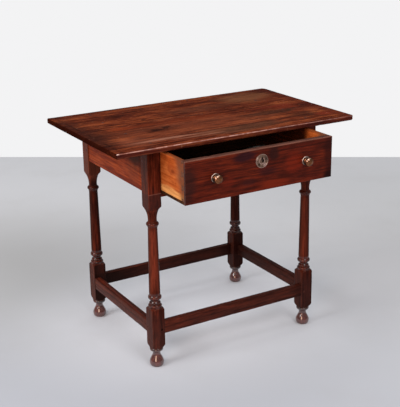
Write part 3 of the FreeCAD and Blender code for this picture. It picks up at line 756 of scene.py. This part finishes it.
def slice_along(bm, axis, step):
    """Cut the mesh across one axis at even distances."""
    normal = Vector((0, 0, 0))
    normal["XYZ".index(axis)] = 1
    values = [v.co.dot(normal) for v in bm.verts]
    low, high = min(values), max(values)
    count = max(1, round((high - low) / step))
    for i in range(1, count):
        at = normal * (low + (high - low) * i / count)
        everything = [*bm.verts, *bm.edges, *bm.faces]
        bmesh.ops.bisect_plane(bm, geom=everything, plane_co=at, plane_no=normal, dist=1e-7)


def blunt(place, low, high, side, radius):
    """Draw a point in to the rounded corner of a board; side is -1 or 1 in X and in Y."""
    centre = [(h - radius if s > 0 else l + radius) for s, l, h in zip(side, low, high)]
    out = Vector((place.x - centre[0], place.y - centre[1]))
    if out.x * side[0] > 0 and out.y * side[1] > 0 and out.length > radius:
        place.xy = Vector(centre) + out.normalized() * radius


def aged(name, node, slot, axis, arris=1.2, cuts=(("X", 30),), sway=0.15, dents=0.5, look=None,
         corners=()):
    """A wooden node with its edges rounded by wear, its faces a little uneven, and small dents on the edges.

    All its sizes are in millimetres: arris is how much is taken off an edge, sway how uneven the faces
    are, dents how deep the dents, cuts how far apart along an axis the mesh is cut to let it bend.
    Corners names the board's blunt corners seen from above, each as (side in X, side in Y, radius).
    """
    bm = clean_copy(node)
    low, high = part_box(node)
    long_edges = [
        e for e in bm.edges
        if len(e.link_faces) == 2 and e.calc_length() > 9 * MM and e.is_convex
        and e.calc_face_angle(0) > math.radians(40)
    ]
    worn = bm.verts.layers.float.new("worn")
    made = bmesh.ops.bevel(bm, geom=long_edges, offset=arris * MM, segments=2, profile=0.5,
                           affect="EDGES", clamp_overlap=False)
    for v in made["verts"]:
        v[worn] = 1.0
    for cut_axis, step in cuts:
        slice_along(bm, cut_axis, step * MM)
    shift = Vector([chance.uniform(-50, 50) for _ in range(3)])
    bm.normal_update()
    for v in bm.verts:
        wave = noise.noise(v.co * 9 + shift) * sway * MM
        bite = max(0.0, noise.noise(v.co * 70 + shift) - 0.25) * 2.0 * dents * MM * v[worn]
        v.co += v.normal * (wave - bite)
        for i in range(3):
            v.co[i] = min(max(v.co[i], low[i]), high[i])
        for *side, radius in corners:
            blunt(v.co, low, high, side, radius * MM)
    return add_piece(name, bm, slot, node, axis, look)


# ---------------------------------------------------------------- turned legs
def arc(start, through, end, count):
    """Points of the circle through three points, without its start."""
    (ax, ay), (bx, by), (cx, cy) = start, through, end
    d = 2 * (ax * (by - cy) + bx * (cy - ay) + cx * (ay - by))
    sa, sb, sc = ax * ax + ay * ay, bx * bx + by * by, cx * cx + cy * cy
    ux = (sa * (by - cy) + sb * (cy - ay) + sc * (ay - by)) / d
    uy = (sa * (cx - bx) + sb * (ax - cx) + sc * (bx - ax)) / d
    r = math.hypot(ax - ux, ay - uy)
    a0, a1, a2 = (math.atan2(y - uy, x - ux) for x, y in (start, through, end))
    turn = (a2 - a0) % (2 * math.pi)
    if (a1 - a0) % (2 * math.pi) > turn:
        turn -= 2 * math.pi
    return [(ux + r * math.cos(a0 + turn * i / count), uy + r * math.sin(a0 + turn * i / count))
            for i in range(1, count + 1)]


def outline(start, *steps):
    """Points of a turned outline: a single point is a straight run, a pair is an arc through the first."""
    points = [start]
    for step in steps:
        if len(step) == 1:
            points.append(step[0])
        else:
            points += arc(points[-1], step[0], step[1], 8)
    return points


BLOCK = 34.0                      # outlines reach this far where the leg is left square
BLOCK_HALF = 21.25
FOOT_ROUND = 22.3                 # the foot is a little wider than the planed blocks
FOOT_TOP = 60.0
RING_GAP = 14.0                   # at most, between two rings of a leg's mesh

# points are (radius, height), in millimetres
LEG_OUTLINE = outline(
    (15.4, 0), [(19.8, 2.6)], [(FOOT_ROUND, 12), (20.0, 23.0)], [(15.2, 32.6)],  # pear foot
    [(12.7, 38), (12.0, 43.5)], [(13.0, 47.6)],                                 # neck
    [(19.2, 52.6)], [(21.2, 57), (19.4, 61.4)],                                 # collar
    [(22.0, 64)], [(25.6, 68)], [(30.0, 75.5), (31.5, 84)], [(BLOCK, 84.5)],    # lower block
    [(BLOCK, 185.5)], [(31.5, 186)], [(28.0, 192.6), (22.0, 196.6)],
    [(20.0, 198.2)], [(20.4, 200)], [(21.2, 203), (20.2, 206.2)],               # base ring
    [(16.4, 208.6)], [(17.2, 210.4)], [(17.7, 212.2), (16.8, 214.4)],           # bead
    [(13.6, 217.6)], [(13.0, 219.6), (13.7, 221.6)], [(19.2, 226)],
    [(20.8, 231), (19.0, 236)], [(17.0, 238)], [(17.3, 242)],                   # torus
    [(16.1, 338), (14.3, 455)], [(15.6, 457.5)], [(15.6, 460.4)],               # long taper
    [(18.1, 462.4)], [(19.3, 466), (17.9, 469.8)], [(13.6, 473.6)],             # upper ring
    [(14.7, 494), (20.6, 512)], [(22.4, 514)], [(26.0, 517.6)],                 # trumpet
    [(30.0, 524), (31.5, 532)], [(BLOCK, 532.5)], [(BLOCK, 695)],               # upper block
)
QUARTER = (0, 9, 18, 27, 34, 38.5, 41.5, 43.5, 45, 46.5, 48.5, 51.5, 56, 63, 72, 81)    # close at a corner


def denser(points, longest):
    """The same outline with its long runs divided."""
    result = [points[0]]
    for (r0, z0), (r1, z1) in zip(points, points[1:]):
        parts = max(1, math.ceil(math.hypot(r1 - r0, z1 - z0) / longest))
        result += [(r0 + (r1 - r0) * i / parts, z0 + (z1 - z0) * i / parts) for i in range(1, parts + 1)]
    return result


def square_reach(angle, half, arris):
    """How far a square with rounded corners reaches at an angle."""
    c, s = abs(math.cos(angle)), abs(math.sin(angle))
    straight = half / max(c, s)
    inner = half - arris
    b = inner * (c + s)
    root = b * b - 2 * inner * inner + arris * arris
    if root < 0:
        return straight
    corner = b + math.sqrt(root)
    return min(straight, corner) if min(c, s) * corner > inner else straight


def stock_reach(angle, z, arris):
    """How far the wood of a leg reaches before it is turned: round at the foot, square above it."""
    return FOOT_ROUND if z < FOOT_TOP else square_reach(angle, BLOCK_HALF, arris)


def turned_leg(name, node):
    """A leg lofted ring by ring: the turned outline wherever it lies inside the stock."""
    centre = centre_of(node)
    centre.z = 0
    shift = Vector([chance.uniform(-50, 50) for _ in range(3)])
    angles = [math.radians(a + 90 * q) for q in range(4) for a in QUARTER]
    bm = bmesh.new()
    rings = []
    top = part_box(node)[1].z / MM
    for r, z in denser(LEG_OUTLINE, RING_GAP):
        z = min(z, top)
        ring = []
        for a in angles:
            way = Vector((math.cos(a), math.sin(a), 0))
            spot = centre + way * BLOCK_HALF * MM + Vector((0, 0, z * MM))
            wear = 1.6 + 1.6 * max(0.0, noise.noise(spot * 38 + shift) + 0.15)
            reach = min(r, stock_reach(a, z, wear)) + noise.noise(spot * 14 + shift) * 0.18
            reach = min(reach, stock_reach(a, z, 0.8))
            ring.append(bm.verts.new(centre + way * reach * MM + Vector((0, 0, z * MM))))
        rings.append(ring)
    for under, over in zip(rings, rings[1:]):
        for i in range(len(angles)):
            j = (i + 1) % len(angles)
            bm.faces.new((under[i], under[j], over[j], over[i]))
    bm.faces.new(list(reversed(rings[0])))
    bm.faces.new(rings[-1])
    return add_piece(name, bm, "frame_wood", node, "Z", sharp=32)


for place_name in ("front_left", "front_right", "rear_left", "rear_right"):
    turned_leg("turned_leg_" + place_name, "leg_" + place_name)


# ---------------------------------------------------------------- boards and rails
TOP_CORNERS = {
    "front": ((-1, -1, 7), (1, -1, 12)),
    "rear": ((-1, 1, 14), (1, 1, 26)),
}

for half_name, blunted in TOP_CORNERS.items():
    aged("plank_" + half_name, "top_board_" + half_name, "top_wood", "X",
         arris=1.4, cuts=(("X", 12), ("Y", 12)), sway=0.35, dents=0.9, corners=blunted)
for side_name in ("left", "right"):
    aged("apron_" + side_name, "side_apron_" + side_name, "frame_wood", "Y",
         arris=0.8, cuts=(("Y", 24),), look="apron_wood")
    aged("stretcher_bar_" + side_name, "stretcher_" + side_name, "frame_wood", "Y",
         arris=1.0, cuts=(("Y", 14),), sway=0.35, dents=0.9)
    aged("drawer_board_" + side_name, "drawer_side_" + side_name, "drawer_wood", "Y",
         arris=0.5, cuts=(("Y", 24),))
    for kind in ("runner", "guide", "stop"):
        aged(kind + "_" + side_name, "drawer_" + kind + "_" + side_name, "inner_wood", "Y", arris=0.6)
for end_name in ("front", "rear"):
    aged("stretcher_bar_" + end_name, "stretcher_" + end_name, "frame_wood", "X",
         arris=1.0, cuts=(("X", 14),), sway=0.35, dents=0.9)
aged("apron_rear", "rear_apron", "frame_wood", "X", arris=0.8, cuts=(("X", 24),))
aged("rail_under_drawer", "drawer_rail", "frame_wood", "X", arris=1.2, cuts=(("X", 16),), sway=0.25)
aged("drawer_face", "drawer_front", "drawer_front_wood", "X",
     arris=1.2, cuts=(("X", 10), ("Z", 10)), sway=0.2, dents=1.2)
aged("drawer_end_board", "drawer_back", "drawer_wood", "X", arris=0.5, look="shaded_drawer_wood")
for part_name in ("front", "middle", "rear"):
    aged("bottom_board_" + part_name, "drawer_bottom_" + part_name, "drawer_wood", "X", arris=0.4,
         look="shaded_drawer_wood")


# ---------------------------------------------------------------- knobs and their roses
ROSE_FIELD = 1.2
AROUND = 56                       # sides of the circle of a knob or rose
POST_HALF = 2.3

# outlines are (radius, how far out of the drawer front), in millimetres
KNOB_OUTLINE = outline(
    (0.0, 25.4), [(6.2, 24.6), (10.4, 22.4)], [(12.9, 20.4), (KNOB_ROUND, 17.6)], [(KNOB_ROUND, 15.8)],
    [(12.6, 14.0), (10.6, 12.6)], [(6.0, 10.6), (4.7, 8.8)], [(4.4, 6.8)], [(5.2, 4.6), (6.6, 3.4)],
    [(7.3, 2.4), (7.2, ROSE_FIELD)], [(0.0, ROSE_FIELD)],
)
ROSE_OUTLINE = outline(
    (0.0, 1.5), [(6.0, ROSE_FIELD), (10.0, ROSE_FIELD)], [(10.6, 2.1), (11.8, 2.7)],
    [(13.6, 1.9), (ROSE_ROUND, 0.3)], [(ROSE_ROUND, 0.0)], [(0.0, 0.0)],
)


def turned_pair(name, node, points, reach, look, post):
    """Two turned pieces standing out of the drawer front, at the two ends of the node's box."""
    low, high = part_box(node)
    middle = centre_of(node).z
    bm = bmesh.new()
    for x in (low.x + reach * MM, high.x - reach * MM):
        rings = []
        for r, out in points:
            angles = [2 * math.pi * i / AROUND for i in range(AROUND)] if r else [0.0]
            rings.append([bm.verts.new((
                x + r * MM * math.cos(a), FACE_Y - out * MM, middle + r * MM * math.sin(a),
            )) for a in angles])
        for inner, outer in zip(rings, rings[1:]):
            count = max(len(inner), len(outer))
            for i in range(count):
                j = (i + 1) % count
                if len(inner) == 1:
                    bm.faces.new((inner[0], outer[i], outer[j]))
                elif len(outer) == 1:
                    bm.faces.new((inner[i], outer[0], inner[j]))
                else:
                    bm.faces.new((inner[i], outer[i], outer[j], inner[j]))
        if post:
            rivet_post(bm, x, middle, high.y)
    return add_piece(name, bm, "brass", node, look=look, sharp=50)


def rivet_post(bm, x, z, back):
    """The square post behind a knob, its end hammered over into a low dome."""
    dome = [(back - 2.2 * MM, 3.4), (back - 0.8 * MM, 2.8), (back, 1.0)]
    corners = [(-1, -1), (1, -1), (1, 1), (-1, 1)]
    rings = []
    for y, half in [(FACE_Y + 0.5 * MM, POST_HALF), (back - 3.0 * MM, POST_HALF), *dome]:
        rings.append([bm.verts.new((x + half * MM * a, y, z + half * MM * b)) for a, b in corners])
    for near, far in zip(rings, rings[1:]):
        for i in range(4):
            j = (i + 1) % 4
            bm.faces.new((near[i], near[j], far[j], far[i]))
    bm.faces.new(rings[0])
    bm.faces.new(rings[-1])


turned_pair("knob_pair", "knobs", KNOB_OUTLINE, KNOB_ROUND, "brass", True)
turned_pair("rose_pair", "knob_roses", ROSE_OUTLINE, ROSE_ROUND, "rose_brass", False)


# ---------------------------------------------------------------- fastenings and lock, as the frame has them
FASTENINGS = {
    "peg_wood": ("apron_pegs", "stretcher_pegs", "top_pegs"),
    "iron": ("runner_nails", "drawer_bottom_nails", "lock_nails", "knob_washers"),
    "dark_iron": ("lock_case",),
    "rubbed_iron": ("lock_bolt",),
    "plate_brass": ("escutcheon", "escutcheon_pins"),
}

for look_name, node_names in FASTENINGS.items():
    for node_name in node_names:
        NODES[node_name].data.materials.clear()
        NODES[node_name].data.materials.append(MATERIALS[look_name])


# ---------------------------------------------------------------- camera
def make_camera():
    data = bpy.data.cameras.new("camera")
    data.sensor_width = 36
    data.lens = FOCAL_PIXELS * data.sensor_width / IMAGE_HIGH
    data.clip_start = 0.05
    data.clip_end = 100
    camera = bpy.data.objects.new("camera", data)
    turn = Matrix((CAMERA_RIGHT, CAMERA_UP, -FORWARD)).transposed().to_4x4()
    camera.matrix_world = Matrix.Translation(CAMERA_AT) @ turn
    bpy.context.scene.collection.objects.link(camera)
    bpy.context.scene.camera = camera


make_camera()


# ---------------------------------------------------------------- floor, wall colour and lights
WALL_LINE = 157                   # where the floor ends, in pixels from the top of the picture
# painted shade: the cooler, darker floor colour near the camera
FLOOR_NEAR_SHADED = "afb3bb"
FLOOR_FAR = "cbcccf"
FLOOR_REACH = 30.0
WORLD_LIGHT = 0.78
WORLD_SHEEN = 0.25
LAMPS_AIM = Vector((0, 0, 0.4))


def floor_seen_at(across, down):
    """The place on the floor that the camera shows at a pixel."""
    way = FORWARD * FOCAL_PIXELS
    way += CAMERA_RIGHT * (across - IMAGE_WIDE / 2) - CAMERA_UP * (down - IMAGE_HIGH / 2)
    return CAMERA_AT - way * (CAMERA_AT.z / way.z)


def floor_material():
    """Pale grey with the soft clouds of a worn floor, and painted light and shade.

    It is darker and cooler towards the camera, has painted shadows of the top to the back left and right,
    and a painted pool of light under the table.
    """
    s = Shader("floor")
    # painted shade: darker and cooler towards the camera
    here = s.spot((-1.3, -1.2, 0), (2.9, 2.9, 0), 0.05, (2, 2, 2), 0.3)
    colour = s.mix(here, FLOOR_FAR, FLOOR_NEAR_SHADED)
    # painted shadows of the top, to the back left and to the back right
    for at, share in (((-0.55, 0.85, 0), 0.6), ((1.30, 0.60, 0), 0.2)):
        colour = s.paint(colour, "a2a2a0", share, s.spot(at, (1.1, 1.1, 0), 0.05, (2, 2, 2), 0.1))
    # painted light: a paler pool under the table
    light_under_table = s.spot((0, 0.05, 0), (0.75, 0.65, 0), 0.05, (2, 2, 2), 0.1)
    colour = s.mix(light_under_table, colour, "dadce2")
    clouds = s.cloud(s.place(), (3, 3, 3), 5, 0.6)
    colour = s.paint(colour, "a8a6a4", 0.12, s.step(clouds, 0.45, 0.75))
    return s.finish(colour, 0.8, Specular_IOR_Level=0.1)


def make_floor():
    """A pale floor that ends level across the picture, where the wall stands."""
    left, right = floor_seen_at(0, WALL_LINE), floor_seen_at(IMAGE_WIDE, WALL_LINE)
    along = (right - left).normalized()
    towards = Vector((along.y, -along.x, 0))
    middle = (left + right) / 2
    corners = [
        middle - along * FLOOR_REACH, middle + along * FLOOR_REACH,
        middle + (along + towards) * FLOOR_REACH, middle + (towards - along) * FLOOR_REACH,
    ]
    bm = bmesh.new()
    bm.faces.new([bm.verts.new(c) for c in corners])
    bmesh.ops.recalc_face_normals(bm, faces=bm.faces)
    mesh = bpy.data.meshes.new("floor")
    bm.to_mesh(mesh)
    bm.free()
    mesh.materials.append(floor_material())
    floor = bpy.data.objects.new("floor", mesh)
    bpy.context.scene.collection.objects.link(floor)


def make_world():
    """An even pale surround: off-white to the camera, a soft lamp to the table, dimmer in reflections."""
    world = bpy.data.worlds.new("surround")
    bpy.context.scene.world = world
    world.use_nodes = True
    tree = world.node_tree
    tree.nodes.clear()
    path = tree.nodes.new("ShaderNodeLightPath")
    seen = tree.nodes.new("ShaderNodeBackground")
    seen.inputs["Color"].default_value = tone("f3f3f4")
    lamp = tree.nodes.new("ShaderNodeBackground")
    lamp.inputs["Color"].default_value = tone("f6f6f8")
    strength = tree.nodes.new("ShaderNodeMapRange")
    strength.inputs["To Min"].default_value = WORLD_LIGHT
    strength.inputs["To Max"].default_value = WORLD_SHEEN
    tree.links.new(path.outputs["Is Glossy Ray"], strength.inputs["Value"])
    tree.links.new(strength.outputs[0], lamp.inputs["Strength"])
    mix = tree.nodes.new("ShaderNodeMixShader")
    output = tree.nodes.new("ShaderNodeOutputWorld")
    tree.links.new(path.outputs["Is Camera Ray"], mix.inputs[0])
    tree.links.new(lamp.outputs[0], mix.inputs[1])
    tree.links.new(seen.outputs[0], mix.inputs[2])
    tree.links.new(mix.outputs[0], output.inputs[0])


def softbox(name, azimuth, elevation, distance, size, power, hue="ffffff"):
    """A square soft lamp round the table; azimuth 0 is towards the camera, positive to its right."""
    a, e = math.radians(azimuth), math.radians(elevation)
    level = PICTURE_RIGHT * math.sin(a) - AHEAD * math.cos(a)
    way = level * math.cos(e) + Vector((0, 0, math.sin(e)))
    data = bpy.data.lights.new(name, "AREA")
    data.shape = "SQUARE"
    data.size = size
    data.energy = power
    data.color = tone(hue)[:3]
    lamp = bpy.data.objects.new(name, data)
    lamp.location = LAMPS_AIM + way * distance
    lamp.rotation_mode = "QUATERNION"
    lamp.rotation_quaternion = way.to_track_quat("Z", "Y")
    bpy.context.scene.collection.objects.link(lamp)


make_floor()
make_world()
softbox("lamp_left", -57, 34, 5.0, 1.9, 109)
softbox("lamp_right", 30, 42, 5.0, 1.5, 66)
softbox("lamp_low", -14, 15, 3.6, 1.2, 32, "ffd4b8")

bpy.context.scene.view_settings.view_transform = "Standard"
